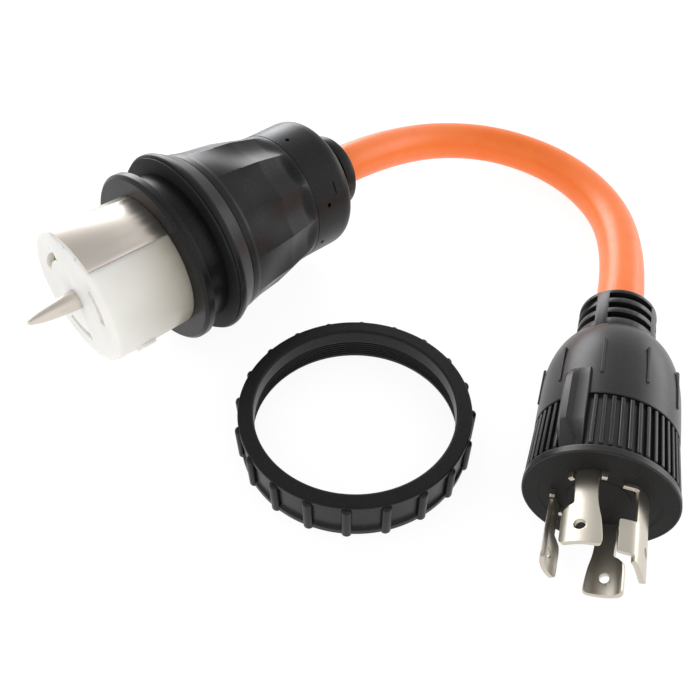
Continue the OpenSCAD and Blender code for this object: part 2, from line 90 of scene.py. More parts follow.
class Net:
    """A node tree that is built by calls."""

    def __init__(self, tree):
        self.tree = tree

    def node(self, kind, settings=None, inputs=None, out=0):
        made = self.tree.nodes.new(kind)
        for name, setting in (settings or {}).items():
            setattr(made, name, setting)
        for key, given in (inputs or {}).items():
            socket = made.inputs[key] if isinstance(key, int) else next(
                s for s in made.inputs if s.identifier == key or s.name == key and s.enabled)
            if isinstance(given, Value):
                self.tree.links.new(given.socket, socket)
            elif isinstance(given, tuple) and len(given) == 3 and socket.type == "RGBA":
                socket.default_value = (*given, 1)
            else:
                socket.default_value = given
        outs = made.outputs
        return Value(self, outs[out] if isinstance(out, int) else next(
            s for s in outs if s.identifier == out or s.name == out and s.enabled))

    def mix(self, mask, a, b):
        return self.node("ShaderNodeMix", {"data_type": "RGBA"},
                         {"Factor_Float": mask, "A_Color": a, "B_Color": b}, out="Result_Color")

    def split(self, vector):
        parts = self.node("ShaderNodeSeparateXYZ", None, {0: vector})
        return [Value(self, s) for s in parts.socket.node.outputs]

    def join(self, x, y, z):
        return self.node("ShaderNodeCombineXYZ", None, {0: x, 1: y, 2: z})

    def eased(self, value, low, high):
        """0 below the low value, 1 above the high one, smooth between."""
        return self.node("ShaderNodeMapRange", {"interpolation_type": "SMOOTHSTEP"}, {0: value, 1: low, 2: high})

    def dot(self, parts, axis):
        x, y, z = (part * float(k) for part, k in zip(parts, axis))
        return x + y + z


class Finish(Net):
    """A material whose shader takes its fixed values at once and its varying values by link."""

    def __init__(self, name, **fixed):
        self.material = bpy.data.materials.new(name)
        self.material.use_nodes = True
        super().__init__(self.material.node_tree)
        self.shader = next(n for n in self.tree.nodes if n.type == "BSDF_PRINCIPLED")
        for key, given in fixed.items():
            socket = self.shader.inputs[key.replace("_", " ")]
            socket.default_value = (*given, 1) if socket.type == "RGBA" else given
        self.place = self.node("ShaderNodeTexCoord", out="Object")

    def drive(self, socket, value):
        self.tree.links.new(value.socket, self.shader.inputs[socket])

    def noise(self, grain_mm, detail=2.0, place=None, out="Factor", rough=0.5):
        return self.node("ShaderNodeTexNoise", None, {
            "Vector": place or self.place, "Scale": 1 / (grain_mm * MM), "Detail": detail,
            "Roughness": rough}, out=out if out == "Color" else 0)

    def turned(self, to_local, stretch=(1, 1, 1)):
        """Object coordinates in a piece's own axes, stretched along them."""
        level = self.node("ShaderNodeMapping", None, {"Vector": self.place, "Rotation": tuple(to_local.to_euler())})
        return self.node("ShaderNodeMapping", None, {"Vector": level, "Scale": tuple(stretch)})

    def along(self, end, low, high):
        """0 to 1 between two stations on an end's axis."""
        axis = (end.to_3x3() @ Vector((0, 0, 1))).normalized()
        away = self.dot(self.split(self.place), axis) - axis.dot(end.translation)
        return self.eased(away, low * MM, high * MM)

    def bump(self, height, depth_mm, strength=1.0):
        self.drive("Normal", self.node("ShaderNodeBump", None, {
            "Strength": strength, "Distance": depth_mm * MM, "Height": height}))


# ---------------------------------------------------------------- where the two ends lie
def end_axes(position, azimuth, tilt):
    """From an end's own axes in millimetres, z along it and x down, to the scene in metres."""
    return (Matrix.Scale(MM, 4) @ Matrix.Translation(position) @ Matrix.Rotation(radians(azimuth), 4, "Z")
            @ Matrix.Rotation(radians(90 - tilt), 4, "Y"))


stop_r, s_stop, stop_rim = 37.2, -14.5, 1.8
band_len, band_taper = 24.4, 0.8    # the plug lies on its band, so the band's taper tips its axis
conn_tilt, plug_tilt, face_r = 3.2, degrees(atan(band_taper / band_len)), 23.6
CONNECTOR = end_axes((-79, 53.3, stop_r * cos(radians(conn_tilt)) - (s_stop - stop_rim) * sin(radians(conn_tilt))),
                     -134, conn_tilt)
PLUG = end_axes((75.3, -43.5, face_r * cos(radians(plug_tilt))), -108.7, plug_tilt)
FLOOR = Matrix.Scale(MM, 4)


def on_connector(s):
    return CONNECTOR @ Vector((0, 0, s))


def on_plug(s):
    return PLUG @ Vector((0, 0, s))


# ---------------------------------------------------------------- camera
camera = bpy.data.objects.new("camera", bpy.data.cameras.new("camera"))
bpy.context.scene.collection.objects.link(camera)
bpy.context.scene.camera = camera
camera.data.sensor_width = 36
camera.data.lens = 36.06
camera.data.clip_start = 0.01
camera.location = (-0.00177, -0.15639, 0.21532)
camera.rotation_euler = (Vector((-0.00177, 0.04162, 0)) - camera.location).to_track_quat("-Z", "Y").to_euler()

# ---------------------------------------------------------------- mesh helpers
SHARP = radians(32)


def finished(name, mesh, body, material, replaces=(), place=FLOOR):
    """Puts a mesh made in an end's own millimetres in place, as a piece that rides on a body."""
    mesh.transform(place)
    mesh.materials.clear()
    mesh.materials.append(material)
    for face in mesh.polygons:
        face.use_smooth = True
    if not mesh.has_custom_normals:
        mesh.set_sharp_from_angle(angle=SHARP)
    piece = bpy.data.objects.new(name, mesh)
    bpy.context.scene.collection.objects.link(piece)
    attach(piece, body)
    if replaces:
        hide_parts(*replaces)
    return piece


def to_mesh(name, bm, recalculate=True):
    if recalculate:
        bmesh.ops.recalc_face_normals(bm, faces=bm.faces)
    mesh = bpy.data.meshes.new(name)
    bm.to_mesh(mesh)
    bm.free()
    return mesh


def filleted(points, closed=True, steps=4):
    """Replaces each (a, b, radius) corner of an outline with a small arc between two close points."""
    line, n = [], len(points)
    for i, point in enumerate(points):
        if len(point) < 3 or (not closed and i in (0, n - 1)):
            line.append(point[:2])
            continue
        here = Vector(point[:2])
        sides = [Vector(points[(i + k) % n][:2]) - here for k in (-1, 1)]
        a, b = (here + d.normalized() * min(point[2], d.length * 0.48) for d in sides)
        before, after = (here + d.normalized() * min(point[2] + 0.06, d.length * 0.49) for d in sides)
        arc = [a.lerp(here, t).lerp(here.lerp(b, t), t) for t in (k / steps for k in range(steps + 1))]
        line += [tuple(p) for p in (before, *arc, after)]
    return line


def revolve(bm, outline, turns=160, start=0.0, span=360.0):
    """Turns an outline of (radius, station) around the axis; a part turn gets its two ends closed."""
    whole = span >= 360
    columns = []
    for k in range(turns if whole else turns + 1):
        a = radians(start + span * k / turns)
        columns.append([bm.verts.new((r * cos(a), r * sin(a), s)) if r > 1e-6 else (r, s) for r, s in outline])
    poles = {}
    for column in columns:
        for i, v in enumerate(column):
            if isinstance(v, tuple):
                if i not in poles:
                    poles[i] = bm.verts.new((0, 0, v[1]))
                column[i] = poles[i]
    axis_ends = len(poles) > 0
    n = len(outline)
    for k in range(len(columns) - (0 if whole else 1)):
        a, b = columns[k], columns[(k + 1) % len(columns)]
        for i in range(n - 1 if axis_ends else n):
            j = (i + 1) % n
            ring = list(dict.fromkeys((a[i], a[j], b[j], b[i])))
            if len(ring) > 2:
                bm.faces.new(ring)
    if not whole:
        bm.faces.new(columns[0])
        bm.faces.new(columns[-1][::-1])


def turned_mesh(name, outline, turns=160):
    bm = bmesh.new()
    revolve(bm, outline, turns)
    return to_mesh(name, bm)


def plate(bm, outline, holes, path, thick, step=0.8, edge=0.18):
    """A sheet cut to an outline in (along, station), with round holes, bent along a path."""
    flat = bpy.data.curves.new("sheet", "CURVE")
    flat.dimensions, flat.fill_mode = "2D", "BOTH"
    flat.extrude, flat.bevel_depth, flat.bevel_resolution = thick / 2 - edge, edge, 2
    flat.offset = -edge
    for ring in [outline] + [[(u + r * cos(t * pi / 16), s + r * sin(t * pi / 16)) for t in range(32)]
                             for u, s, r in holes]:
        spline = flat.splines.new("POLY")
        spline.points.add(len(ring) - 1)
        for point, (u, s) in zip(spline.points, ring):
            point.co = (u, s, 0, 1)
        spline.use_cyclic_u = True
    holder = bpy.data.objects.new("sheet", flat)
    bpy.context.scene.collection.objects.link(holder)
    bpy.context.view_layer.update()
    mesh = bpy.data.meshes.new_from_object(holder.evaluated_get(bpy.context.evaluated_depsgraph_get()))
    bpy.data.objects.remove(holder)
    part = bmesh.new()
    part.from_mesh(mesh)
    bmesh.ops.remove_doubles(part, verts=part.verts, dist=1e-4)
    low, high = min(v.co.x for v in part.verts), max(v.co.x for v in part.verts)
    for i in range(1, int((high - low) / step)):
        bmesh.ops.bisect_plane(part, geom=part.verts[:] + part.edges[:] + part.faces[:],
                               plane_co=(low + i * step, 0, 0), plane_no=(1, 0, 0))
    for v in part.verts:
        (x, y), (nx, ny) = path(v.co.x)
        v.co = (x + nx * v.co.z, y + ny * v.co.z, v.co.y)
    bmesh.ops.recalc_face_normals(part, faces=part.faces)
    made = bpy.data.meshes.new("sheet")
    part.to_mesh(made)
    part.free()
    bm.from_mesh(made)
    bpy.data.meshes.remove(made)
    bpy.data.meshes.remove(mesh)


def round_path(radius, angle):
    """Path along a circle; the distance along it is 0 at the angle."""
    def at(u):
        a = radians(angle) + u / radius
        return (radius * cos(a), radius * sin(a)), (cos(a), sin(a))
    return at


# ---------------------------------------------------------------- Geometry Nodes
def tree_named(name, inputs):
    """A Geometry Nodes tree with named inputs; returns the net, its input sockets and their identifiers."""
    tree = bpy.data.node_groups.new(name, "GeometryNodeTree")
    tree.interface.new_socket("Geometry", in_out="INPUT", socket_type="NodeSocketGeometry")
    names = {}
    for label, kind in inputs:
        names[label] = tree.interface.new_socket(label, in_out="INPUT", socket_type="NodeSocket" + kind).identifier
    tree.interface.new_socket("Geometry", in_out="OUTPUT", socket_type="NodeSocketGeometry")
    net = Net(tree)
    entry = tree.nodes.new("NodeGroupInput")
    return net, {s.name: Value(net, s) for s in entry.outputs if s.name}, names


def end_tree(net, geometry, material):
    real = net.node("GeometryNodeRealizeInstances", None, {0: geometry})
    painted = net.node("GeometryNodeSetMaterial", None, {0: real, "Material": material})
    net.tree.links.new(painted.socket, net.tree.nodes.new("NodeGroupOutput").inputs[0])


def grown(mesh, tree, names, **given):
    """The mesh that a tree makes from this mesh."""
    holder = bpy.data.objects.new("grown", mesh)
    bpy.context.scene.collection.objects.link(holder)
    modifier = holder.modifiers.new("nodes", "NODES")
    modifier.node_group = tree
    for label, value in given.items():
        modifier[names[label.replace("_", " ")]] = value
    bpy.context.view_layer.update()
    made = bpy.data.meshes.new_from_object(holder.evaluated_get(bpy.context.evaluated_depsgraph_get()))
    holder.modifiers.clear()
    bpy.data.objects.remove(holder)
    return made


def repeat_tree():
    """Copies one piece around the axis: Count copies, Span degrees in all, from the angle Start."""
    net, given, names = tree_named("copies_round_the_axis", [
        ("Count", "Int"), ("Start", "Float"), ("Span", "Float"), ("Material", "Material")])
    points = net.node("GeometryNodePoints", None, {"Count": given["Count"]})
    copies = net.node("GeometryNodeInstanceOnPoints", None, {"Points": points, "Instance": given["Geometry"]})
    index = net.node("GeometryNodeInputIndex")
    angle = (given["Start"] + given["Span"] * index / given["Count"]) * (pi / 180)
    turn = net.node("GeometryNodeRotateInstances", None, {0: copies, "Rotation": net.join(0.0, 0.0, angle)})
    end_tree(net, turn, given["Material"])
    return net.tree, names


def flute_tree():
    """Hollows Count shallow flutes round a turned body. They meet in crests and fade out at both ends."""
    net, given, names = tree_named("fluted_grip", [
        ("Count", "Int"), ("Start", "Float"), ("Depth", "Float"), ("Front", "Float"), ("Back", "Float"),
        ("Front fade", "Float"), ("Back fade", "Float"), ("Outside over", "Float"), ("Material", "Material")])
    x, y, z = net.split(net.node("GeometryNodeInputPosition"))
    across = (x * x + y * y) ** 0.5
    pitch = 2 * pi / given["Count"]
    turn = y.do("ARCTAN2", x) - given["Start"] * (pi / 180)
    off = ((turn + pitch * 0.5).do("FLOORED_MODULO", pitch) / pitch - 0.5) * 2.0

    reach = net.eased(given["Front"] - z, 0.0, given["Front fade"]) * net.eased(
        z - given["Back"], 0.0, given["Back fade"])
    ratio = 1 - given["Depth"] * reach * (1 - off * off)
    moved = net.node("GeometryNodeSetPosition", None, {
        0: given["Geometry"], "Selection": across > given["Outside over"],
        "Position": net.join(x * ratio, y * ratio, z)})
    end_tree(net, moved, given["Material"])
    return net.tree, names


def thread_tree():
    """A screw thread: a small ridge carried along a helix."""
    net, given, names = tree_named("thread", [("Turns", "Float"), ("Radius", "Float"), ("Height", "Float"),
                                              ("Ridge", "Float"), ("Material", "Material")])
    helix = net.node("GeometryNodeCurveSpiral", None, {
        "Resolution": 120, "Rotations": given["Turns"], "Start Radius": given["Radius"],
        "End Radius": given["Radius"], "Height": given["Height"]})
    ridge = net.node("GeometryNodeCurvePrimitiveCircle", {"mode": "RADIUS"}, {
        "Resolution": 6, "Radius": given["Ridge"]})
    solid = net.node("GeometryNodeCurveToMesh", None, {
        "Curve": helix, "Profile Curve": ridge, "Fill Caps": True})
    end_tree(net, net.node("GeometryNodeJoinGeometry", None, {0: solid}), given["Material"])
    return net.tree, names


# ---------------------------------------------------------------- finishes
def moulded(name, colour, gloss, grain_mm, grain_depth, haze=0.05, shine=0.4):
    """Moulded black plastic: fine spark-eroded grain, patchy gloss, a little dust."""
    f = Finish(name, Specular_IOR_Level=shine)
    patches, grain = f.noise(14, 3), f.noise(grain_mm, 2, rough=0.6)
    dust = (f.noise(0.7, 4) - 0.56).do("MAXIMUM", 0.0) * 2.2
    light = tuple(c * 1.4 + 0.001 for c in colour)
    f.drive("Base Color", f.mix(dust * 0.15, f.mix(patches, colour, light), (0.24, 0.23, 0.22)))
    f.drive("Roughness", gloss + (patches - 0.5) * 0.16 + grain * haze)
    f.bump(grain + f.noise(3.0, 2) * 0.8, grain_depth)
    return f.material


def nickel_plate(name, place, stretch, colour=(0.74, 0.69, 0.62), gloss=0.2):
    """Satin nickel plate with drawing marks along the part."""
    f = Finish(name, Metallic=1.0)
    marks = f.noise(0.3, 3, f.turned(place, stretch))
    cloud = f.noise(6, 2)
    worn = tuple(c * 0.86 for c in colour)
    f.drive("Base Color", f.mix(cloud * 0.6 + marks * 0.2, colour, worn))
    f.drive("Roughness", gloss + marks * 0.06 + (cloud - 0.5) * 0.06)
    f.bump(marks, 0.002)
    return f.material


def milky_nylon():
    """Milky nylon with flow clouds, its colour painted darker and tan toward the flange as painted shade from the
    flange and ring.
    """
    f = Finish("milky_nylon", Subsurface_Weight=0.65, Subsurface_Radius=(0.006, 0.005, 0.004), Subsurface_Scale=1.0,
               IOR=1.5)
    flow, fine = f.noise(11, 3), f.noise(0.5, 3)
    # painted shade: the nose colour turns darker and tan toward the flange, where the flange and ring shade it
    flange_shade_tan = f.mix(flow, (0.44, 0.39, 0.29), (0.54, 0.49, 0.39))
    unshaded_ivory = f.mix(flow, (0.90, 0.885, 0.85), (0.80, 0.78, 0.72))
    f.drive("Base Color", f.mix(f.along(CONNECTOR, -10, 34), flange_shade_tan, unshaded_ivory))
    f.drive("Roughness", 0.24 + flow * 0.14)
    f.bump(flow + fine * 0.12, 0.05)
    return f.material


def cord_vinyl():
    """Extruded orange vinyl: faint lines along it, cloudy gloss, small scuffs."""
    f = Finish("orange_vinyl", Coat_Weight=0.08, Coat_Roughness=0.15, Specular_IOR_Level=0.4)
    along = f.node("ShaderNodeAttribute", {"attribute_name": "run"}, out="Vector")
    length, round_, _ = f.split(along)
    lines = f.node("ShaderNodeTexNoise", {"noise_dimensions": "3D"}, {
        "Vector": f.join(length * 9.0, round_.do("COSINE") * 4.0, round_.do("SINE") * 4.0),
        "Scale": 5.0, "Detail": 3.0})
    cloud = f.noise(9, 3)
    scuff = (f.noise(1.4, 4) - 0.6).do("MAXIMUM", 0.0) * 1.6
    f.drive("Base Color", f.mix(scuff, f.mix(cloud, (1.0, 0.22, 0.03), (0.96, 0.17, 0.018)), (1.0, 0.42, 0.18)))
    f.drive("Roughness", 0.32 + cloud * 0.12 + scuff * 0.3)
    f.bump(lines + f.noise(0.35, 2) * 0.15, 0.05)
    return f.material


def coloured_vinyl(name, colour):
    f = Finish(name, Specular_IOR_Level=0.5)
    cloud = f.noise(2.5, 3)
    f.drive("Base Color", f.mix(cloud, colour, tuple(c * 0.7 for c in colour)))
    f.drive("Roughness", 0.3 + cloud * 0.15)
    f.bump(f.noise(0.4, 2), 0.01)
    return f.material


housing = moulded("housing_nylon", (0.0045, 0.004, 0.004), 0.30, 0.35, 0.008, shine=0.24)
ring_black = moulded("ring_nylon", (0.003, 0.003, 0.003), 0.33, 0.35, 0.010, shine=0.24)
plug_vinyl = moulded("plug_vinyl", (0.006, 0.0055, 0.0058), 0.31, 0.28, 0.014, shine=0.40)
face_black = moulded("face_moulding", (0.006, 0.0055, 0.005), 0.55, 0.5, 0.015, shine=0.2)
rubber = moulded("seal_rubber", (0.008, 0.008, 0.008), 0.62, 0.5, 0.02)
inner_black = moulded("inner_moulding", (0.03, 0.029, 0.028), 0.55, 0.5, 0.02)
nylon = milky_nylon()
strip_nickel = nickel_plate("strip_nickel", CONNECTOR.inverted(), (1, 1, 0.04), (0.76, 0.69, 0.61), 0.34)
blade_nickel = nickel_plate("blade_nickel", PLUG.inverted(), (1, 1, 0.05), (0.62, 0.57, 0.48), 0.28)
brass = nickel_plate("contact_brass", FLOOR, (1, 1, 0.2), (0.74, 0.55, 0.27), 0.28)
zinc = nickel_plate("zinc_plate", FLOOR, (1, 1, 1), (0.62, 0.62, 0.64), 0.3)
orange = cord_vinyl()
wires = {"line_1": coloured_vinyl("wire_black", (0.02, 0.02, 0.02)),
         "line_2": coloured_vinyl("wire_red", (0.5, 0.02, 0.015)),
         "neutral": coloured_vinyl("wire_white", (0.8, 0.8, 0.76)),
         "ground": coloured_vinyl("wire_green", (0.03, 0.28, 0.08))}

# ---------------------------------------------------------------- cord
cord_r = 9
s_cord_in, s_cord_out = -66, -62.2
cord_middle = [[10.5, 147.5, 28], [24.5, 162, 23], [39.5, 174, 18.5], [58, 182, 14], [76, 182.5, 11.5],
               [93.5, 175, 10], [107, 163, 9.5], [116.5, 147.5, 9.5], [122, 130, 10], [123, 111.5, 11.5],
               [120, 91.5, 14], [115, 72, 16.5], [108.5, 53, 19.5]]
cord_route = ([on_connector(s_cord_in - s) for s in (0, 14, 28, 42)] + [Vector(p) * MM for p in cord_middle]
              + [on_plug(s_cord_out - s) for s in (24, 12, 0)])


def smooth_line(points, per_span=10):
    """Uniform cubic B-spline through the ends of the points."""
    knots = [2 * points[0] - points[1], *points, 2 * points[-1] - points[-2]]
    line = []
    for i in range(len(points) - 1):
        for k in range(per_span + (i == len(points) - 2)):
            t = k / per_span
            a, b, c, d = knots[i:i + 4]
            line.append(((1 - t) ** 3 * a + (3 * t ** 3 - 6 * t ** 2 + 4) * b
                         + (-3 * t ** 3 + 3 * t ** 2 + 3 * t + 1) * c + t ** 3 * d) / 6)
    return line


def swept(line, radius, sides):
    """A closed tube along a line, with the distance along it and the angle round it kept on its points."""
    bm = bmesh.new()
    run = bm.verts.layers.float_vector.new("run")
    rings, gone = [], 0.0
    for i, point in enumerate(line):
        way = (line[min(i + 1, len(line) - 1)] - line[max(i - 1, 0)]).normalized()
        u = Vector((0, 0, 1)).cross(way).normalized()
        v = way.cross(u)
        gone += (point - line[i - 1]).length if i else 0
        ring = []
        for k in range(sides):
            a = 2 * pi * k / sides
            vert = bm.verts.new(point + radius * (cos(a) * u + sin(a) * v))
            vert[run] = (gone, a, 0)
            ring.append(vert)
        rings.append(ring)
    for a, b in zip(rings, rings[1:]):
        for k in range(sides):
            bm.faces.new((a[k], b[k], b[(k + 1) % sides], a[(k + 1) % sides]))
    bm.faces.new(rings[0])
    bm.faces.new(rings[-1][::-1])
    return to_mesh("cord", bm), gone


cord_line = [p for p in smooth_line(cord_route)
             if (CONNECTOR.inverted() @ p).z < -72 and (PLUG.inverted() @ p).z < -66]
cord_mesh, cord_length = swept(cord_line, cord_r * MM, 48)
cord = finished("cord_jacket", cord_mesh, "adapter", orange, ["cord"], Matrix())

# ---------------------------------------------------------------- connector
copies, copies_names = repeat_tree()
flutes, flutes_names = flute_tree()
thread, thread_names = thread_tree()


def copied(mesh, count, start, material, span=360.0):
    return grown(mesh, copies, copies_names, Count=count, Start=start, Span=span, Material=material)


def joined(name, *meshes):
    bm = bmesh.new()
    for mesh in meshes:
        bm.from_mesh(mesh)
        bpy.data.meshes.remove(mesh)
    return to_mesh(name, bm, False)


def cad_copy(node, bevel_mm, segments=2):
    """A merged copy of a CAD node with its sharp edges rounded."""
    bm = bmesh.new()
    bm.from_mesh(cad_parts[node].data)
    bmesh.ops.remove_doubles(bm, verts=bm.verts, dist=2e-6)
    bmesh.ops.dissolve_limit(bm, angle_limit=radians(0.5), verts=bm.verts, edges=bm.edges)
    for face in bm.faces:
        face.smooth = True
    mesh = to_mesh(node, bm, False)
    holder = bpy.data.objects.new("rounding", mesh)
    bpy.context.scene.collection.objects.link(holder)
    modifier = holder.modifiers.new("rounding", "BEVEL")
    modifier.width, modifier.segments, modifier.limit_method = bevel_mm * MM, segments, "ANGLE"
    modifier.angle_limit, modifier.harden_normals = radians(40), True
    bpy.context.view_layer.update()
    made = bpy.data.meshes.new_from_object(holder.evaluated_get(bpy.context.evaluated_depsgraph_get()))
    bpy.data.objects.remove(holder)
    return made


def carved(mesh, cutters):
    """The mesh with closed cutters taken away from it."""
    objects = [bpy.data.objects.new("carving", m) for m in (mesh, cutters)]
    for o in objects:
        bpy.context.scene.collection.objects.link(o)
    modifier = objects[0].modifiers.new("cut", "BOOLEAN")
    modifier.operation, modifier.solver, modifier.object = "DIFFERENCE", "EXACT", objects[1]
    bpy.context.view_layer.update()
    made = bpy.data.meshes.new_from_object(objects[0].evaluated_get(bpy.context.evaluated_depsgraph_get()))
    for o in objects:
        bpy.data.objects.remove(o)
    return made


nose_len, flange_r, spigot_r = 32.4, 34.6, 24.6
s_groove, s_seal, s_grip, s_nut, s_nut_end = -4, -13.5, -23, -63.7, -84.4

finished("nose_moulding", cad_copy("nose", 0.5, 3), "adapter", nylon, ["nose"], Matrix())
finished("ground_strip_plate", cad_copy("ground_strip", 0.2), "adapter", strip_nickel,
         ["ground_strip"], Matrix())

pin_r = 3.7
pin_outline = filleted([
    (0, nose_len + 19), (0.9, nose_len + 18.5, 0.5), (2.3, nose_len + 13.7, 4), (3.2, nose_len + 7.6, 4),
    (pin_r, nose_len + 1, 1), (pin_r, -28, 0.3), (0, -28)], closed=False, steps=6)
facet = bmesh.new()
facet_azimuth, facet_slope = 70, -8
bmesh.ops.create_cube(facet, size=1, matrix=Matrix.Rotation(radians(facet_azimuth), 4, "Z")
                      @ Matrix.Translation((pin_r, 0, nose_len + 8.55))
                      @ Matrix.Rotation(radians(facet_slope), 4, "Y") @ Matrix.Translation((2.8, 0, 9.5))
                      @ Matrix.Diagonal((4, 2.2, 19, 1)))
pin = carved(turned_mesh("pin", pin_outline, 96), to_mesh("facet", facet))
finished("centre_pin_turned", pin, "adapter", strip_nickel, ["centre_pin"], CONNECTOR)

front = turned_mesh("front", filleted([
    (spigot_r, 0), (flange_r - 1.2, 0, 0.3), (flange_r, -1.2, 0.4), (flange_r, s_groove, 0.5),
    (30.4, s_groove, 0.4), (30.4, s_seal, 0.2), (spigot_r, s_seal)]), 224)
finished("front_flange_moulding", front, "adapter", housing, ["front_flange"], CONNECTOR)

stop = turned_mesh("stop", filleted([
    (spigot_r, s_stop), (stop_r - 0.4, s_stop, 0.4), (stop_r, s_stop - 0.5, 0.3), (stop_r, s_stop - 2.2, 0.7),
    (34.3, s_grip + 0.6, 0.6), (34.0, s_grip + 0.05, 0.2), (spigot_r, s_grip + 0.05)]), 224)
finished("stop_flange_moulding", stop, "adapter", housing, ["stop_flange"], CONNECTOR)

grip_points = [(33.9, s_grip - 0.05, 0.3), (33.7, -26, 0.5), (33.4, -27, 0.5), (32.9, -33), (32.4, -38), (31.6, -46.9),
               (29.7, -56.2), (28.6, -61), (28.0, s_nut, 0.15)]
grip_line = filleted(grip_points + [(22, s_nut, 0.3), (22, -79, 0.5), (17, -79, 0.3), (17, -68), (13, -68), (13, -61.7),
                                    (20, -58.7), (25, -49.7), (25, s_grip - 0.05)])


def dense(line, step):
    """The same closed line with no part of it longer than a step."""
    out = []
    for (r0, s0), (r1, s1) in zip(line, line[1:] + line[:1]):
        parts = max(1, int(sqrt((r1 - r0) ** 2 + (s1 - s0) ** 2) / step))
        out += [(r0 + (r1 - r0) * k / parts, s0 + (s1 - s0) * k / parts) for k in range(parts)]
    return out


grip_blank = bmesh.new()
revolve(grip_blank, dense(grip_line, 0.7), 480, start=10)
grip = grown(to_mesh("grip", grip_blank), flutes, flutes_names, Count=12, Start=145.0, Depth=0.07, Front=-23.5,
             Back=-63.8, Front_fade=27.0, Back_fade=6.5, Outside_over=26.5, Material=housing)
finished("grip_moulding", grip, "adapter", housing, ["grip_body"], CONNECTOR)

nut = turned_mesh("nut", filleted([
    (22.3, -63.8), (28.1, -63.8, 0.15), (28.3, -72), (28.5, -81, 2), (27.6, -83.5, 1.6), (25.4, s_nut_end, 1.2),
    (13.5, s_nut_end, 0.3), (13.5, -81.9), (22.3, -81.9)]), 224)
marks = bmesh.new()
for angle, station in ((172.6, -69), (105.2, -70.4), (68.4, -67.5), (-7.4, -69), (-74.8, -70.4), (-111.6, -67.5)):
    way = Matrix.Rotation(radians(angle), 4, "Z")
    bmesh.ops.create_cone(marks, cap_ends=True, segments=28, radius1=0.9, radius2=0.9, depth=4,
                          matrix=way @ Matrix.Translation((28, 0, station)) @ Matrix.Rotation(pi / 2, 4, "Y"))
bmesh.ops.create_cube(marks, size=1, matrix=Matrix.Rotation(radians(117), 4, "Z") @ Matrix.Translation((28.35, 0, -74.4))
                      @ Matrix.Diagonal((0.7, 5.2, 2.4, 1)))
finished("clamp_nut_moulding", carved(nut, to_mesh("marks", marks)), "clamp_nut", housing, ["clamp_nut"],
         CONNECTOR)
finished("gland_collar", cad_copy("gland", 0.3), "gland", housing, ["gland"], Matrix())

# ---------------------------------------------------------------- plug
s_dome, s_sleeve = -band_len, -67.4
shell = turned_mesh("shell", filleted([
    (23, 0), (face_r, 0, 0.5), (face_r, -2.8, 0.5), (22.1, -3.3, 0.3), (21.6, s_dome, 0.2), (22.95, s_dome, 0.35),
    (23.1, -33, 6), (23.0, -45, 8), (22.25, -52, 6), (20.4, -59, 5), (17.9, -64, 4), (15.4, -66.6, 1.5),
    (14.4, s_sleeve, 0.4), (12.8, s_sleeve), (12.8, -64.8), (15, -64.8), (15, -59.8), (20, -45.9), (20, -3), (23, -3)]), 224)


def skin(bm, rings):
    """Faces between neighbouring rings of points, and a cap on each end."""
    for a, b in zip(rings, rings[1:]):
        for k in range(len(a)):
            j = (k + 1) % len(a)
            bm.faces.new((a[k], a[j], b[j], b[k]))
    bm.faces.new(rings[0][::-1])
    bm.faces.new(rings[-1])


def bar(width, thick, low, high, radius, rounded, lean=0.0):
    """A straight rib along the axis, standing on a radius that may grow toward its front."""
    bm = bmesh.new()
    section = filleted([(-width / 2, -thick * 0.5), (-width / 2, thick, rounded), (width / 2, thick, rounded),
                        (width / 2, -thick * 0.5)], steps=3)
    rings = []
    for s, sink in ((low, thick * 0.8), (low + thick * 0.6, 0), (high - thick * 0.6, 0), (high, thick * 0.8)):
        foot = radius + lean * (s - low)
        rings.append([bm.verts.new((foot + h - (sink if h > 0 else 0), w, s)) for w, h in section])
    skin(bm, rings)
    return to_mesh("bar", bm)


band_ribs = copied(bar(1.3, 1.25, -24.5, -3.1, 21.6, 0.5, lean=0.026), 52, -159.1, plug_vinyl)
dome_ribs = copied(bar(1.0, 0.6, -50, -33.2, 22.95, 0.3), 10, -161.5, plug_vinyl)


def thumb_block():
    """A broad step on the band with a narrow ridge along one side, sloped off at both ends."""
    bm = bmesh.new()
    rings = []
    for s, ridge, step, shut in (
            (-36.4, 22.6, 22.5, 0), (-36, 23.4, 23.2, 0), (-35.3, 24.3, 24.0, 0), (-33.6, 25.2, 24.4, 0),
            (-31.4, 25.85, 24.5, 0), (-29.5, 26.05, 24.55, 0), (-12.4, 26.1, 24.6, 0), (-11.6, 25.9, 24.6, 0.05),
            (-4.2, 23.9, 23.9, 0.9), (-2.7, 23.2, 23.1, 1)):
        ring = []
        for a, gone, r in (
                (-128.7, -5.5, 21.6), (-128.7, -5.5, 22.7), (-136.9, 1.2, ridge - 0.25), (-137.8, 1.6, ridge),
                (-142.0, -5.5, ridge), (-142.7, -6, ridge - 0.2), (-145.0, -6.2, step + 0.25),
                (-145.8, -5.8, step + 0.05), (-153.2, 0, step), (-153.8, 0, step - 0.4),
                (-154.1, 0, 22.6), (-154.1, 0, 21.6)):
            a = radians(a + gone * shut)
            ring.append(bm.verts.new((r * cos(a), r * sin(a), s)))
        rings.append(ring)
    skin(bm, rings)
    return to_mesh("thumb", bm)


finished("plug_shell_moulding", joined("plug_shell", shell, band_ribs, dome_ribs, thumb_block()), "adapter", plug_vinyl,
         ["plug_shell"], PLUG)

face = turned_mesh("face", filleted([
    (0, -0.2), (9.5, -0.2, 0.1), (9.7, -0.4, 0.1), (18.2, -0.4, 0.1), (18.5, -0.2, 0.1), (23, -0.05, 0.1), (23, -3),
    (0, -3)], closed=False), 160)
finished("plug_face_moulding", face, "adapter", face_black, ["plug_face"], PLUG)
finished("slotted_sleeve", cad_copy("cord_sleeve", 0.3), "adapter", plug_vinyl, ["cord_sleeve"], Matrix())

